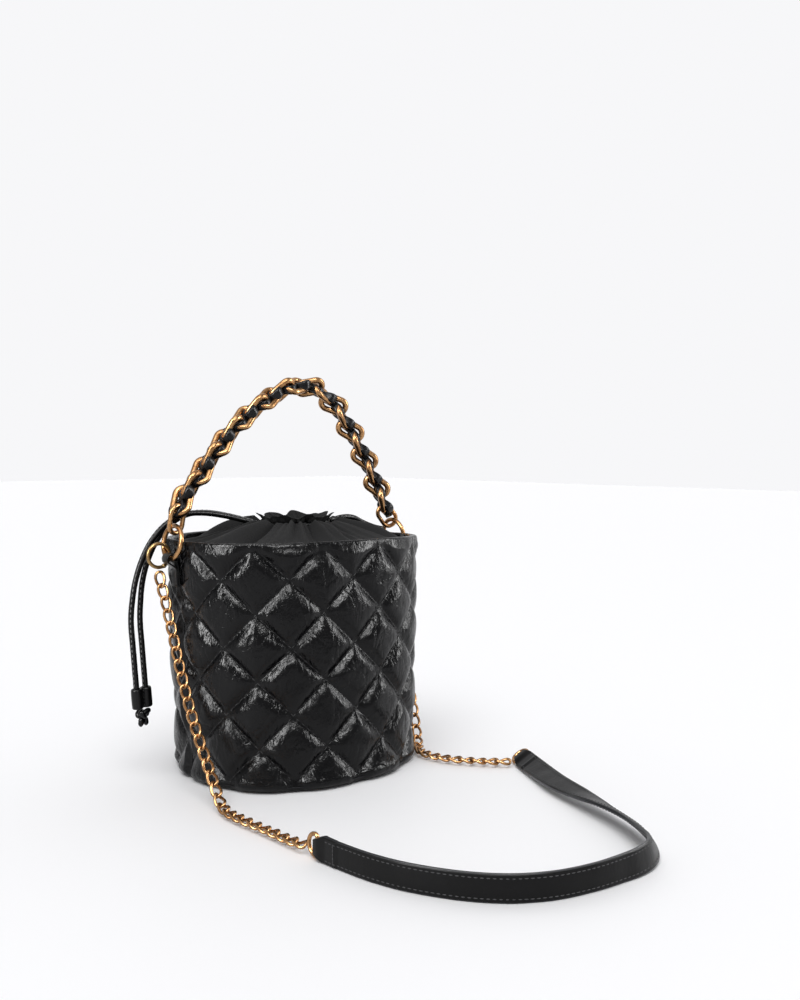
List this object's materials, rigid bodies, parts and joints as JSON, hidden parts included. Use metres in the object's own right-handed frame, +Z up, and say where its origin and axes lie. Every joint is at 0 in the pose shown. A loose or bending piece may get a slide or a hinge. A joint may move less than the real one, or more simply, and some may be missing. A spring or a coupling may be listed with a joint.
{
  "type": "bucket bag",
  "caption": "Quilted leather bucket bag with a chain and leather top handle, drawstring closure and a chain and leather shoulder strap.",
  "frame": {"origin": "centre of the base, on the surface that the bag stands on", "axes": "+X the bag's right as seen from its front, -Y its front, +Z up"},
  "size_m": [0.2959, 0.4487, 0.338],
  "materials": {
    "bag_leather": "glossy crinkled leather, quilted over thin foam",
    "cord_leather": "round cord of stitched smooth leather",
    "strap_leather": "smooth semi-matt strap leather with painted edges",
    "gathered_cloth": "matt black gathered cloth",
    "lining_cloth": "matt woven lining",
    "base_board": "plain stiffening board",
    "antique_gold": "polished with darker hollows, antique gold"
  },
  "bodies": {
    "bag": {"front_quilted_panel": "bag_leather", "back_quilted_panel": "bag_leather", "base_panel": "bag_leather", "base_board": "base_board", "lining": "lining_cloth", "rim_facing": "bag_leather", "gathered_closure": "gathered_cloth", "left_side_tab": "bag_leather", "right_side_tab": "bag_leather", "drawstring_loop": "cord_leather", "drawstring_front_tail": "cord_leather", "drawstring_rear_tail": "cord_leather", "drawstring_right_run": "cord_leather", "drawstring_knot": "cord_leather", "left_chain": "antique_gold", "right_chain": "antique_gold", "shoulder_strap": "strap_leather", "left_strap_ring": "antique_gold", "right_strap_ring": "antique_gold"},
    "handle": {"handle_link_01": "antique_gold", "handle_link_02": "antique_gold", "handle_link_03": "antique_gold", "handle_link_04": "antique_gold", "handle_link_05": "antique_gold", "handle_link_06": "antique_gold", "handle_link_07": "antique_gold", "handle_link_08": "antique_gold", "handle_link_09": "antique_gold", "handle_link_10": "antique_gold", "handle_link_11": "antique_gold", "handle_link_12": "antique_gold", "handle_link_13": "antique_gold", "handle_link_14": "antique_gold", "handle_link_15": "antique_gold", "handle_link_16": "antique_gold", "handle_link_17": "antique_gold", "handle_link_18": "antique_gold", "handle_link_19": "antique_gold", "handle_link_20": "antique_gold", "handle_link_21": "antique_gold", "handle_link_22": "antique_gold", "handle_link_23": "antique_gold", "handle_lace": "strap_leather"},
    "left_ring": {"left_ring": "antique_gold"},
    "right_ring": {"right_ring": "antique_gold"},
    "left_clasp": {"left_clasp": "antique_gold"},
    "right_clasp": {"right_clasp": "antique_gold"},
    "left_gate": {"left_clasp_gate": "antique_gold"},
    "right_gate": {"right_clasp_gate": "antique_gold"},
    "slider": {"drawstring_slider": "bag_leather"}
  },
  "joints": [
    {"name": "handle_swing", "type": "hinge", "parent": "bag", "child": "handle", "pos_m": [0.0003, 0.006, 0.19604], "axis": [0.9986, 0.0493, -0.0192], "range_deg": [-32, 46]},
    {"name": "left_ring_tilt", "type": "hinge", "parent": "bag", "child": "left_ring", "pos_m": [-0.1188, 0, 0.1849], "axis": [-0.1025, 0.9947, 0], "range_deg": [-2, 2]},
    {"name": "left_clasp_swing", "type": "hinge", "parent": "left_ring", "child": "left_clasp", "pos_m": [-0.11917, 0.008, 0.18746], "axis": [-0.0186, -0.8152, -0.5789], "range_deg": [-5, 5]},
    {"name": "left_gate_hinge", "type": "hinge", "parent": "left_clasp", "child": "left_gate", "pos_m": [-0.11525, 0.0082, 0.18722], "axis": [-0.0471, 0.9989, 0], "range_deg": [0, 20], "stiffness_Nm_per_rad": 0.02, "springref_deg": -5.73},
    {"name": "right_ring_tilt", "type": "hinge", "parent": "bag", "child": "right_ring", "pos_m": [0.1194, 0.012, 0.1804], "axis": [-0.1025, 0.9947, 0], "range_deg": [-2, 2]},
    {"name": "right_clasp_swing", "type": "hinge", "parent": "right_ring", "child": "right_clasp", "pos_m": [0.11977, 0.004, 0.18296], "axis": [-0.0186, -0.8152, 0.5789], "range_deg": [-5, 5]},
    {"name": "right_gate_hinge", "type": "hinge", "parent": "right_clasp", "child": "right_gate", "pos_m": [0.11585, 0.0038, 0.18272], "axis": [0.0471, -0.9989, 0], "range_deg": [0, 20], "stiffness_Nm_per_rad": 0.02, "springref_deg": -5.73},
    {"name": "slider_travel", "type": "slide", "parent": "bag", "child": "slider", "axis": [-0.0732, 0, 0.9973], "range_m": [0, 0.04]}
  ]
}
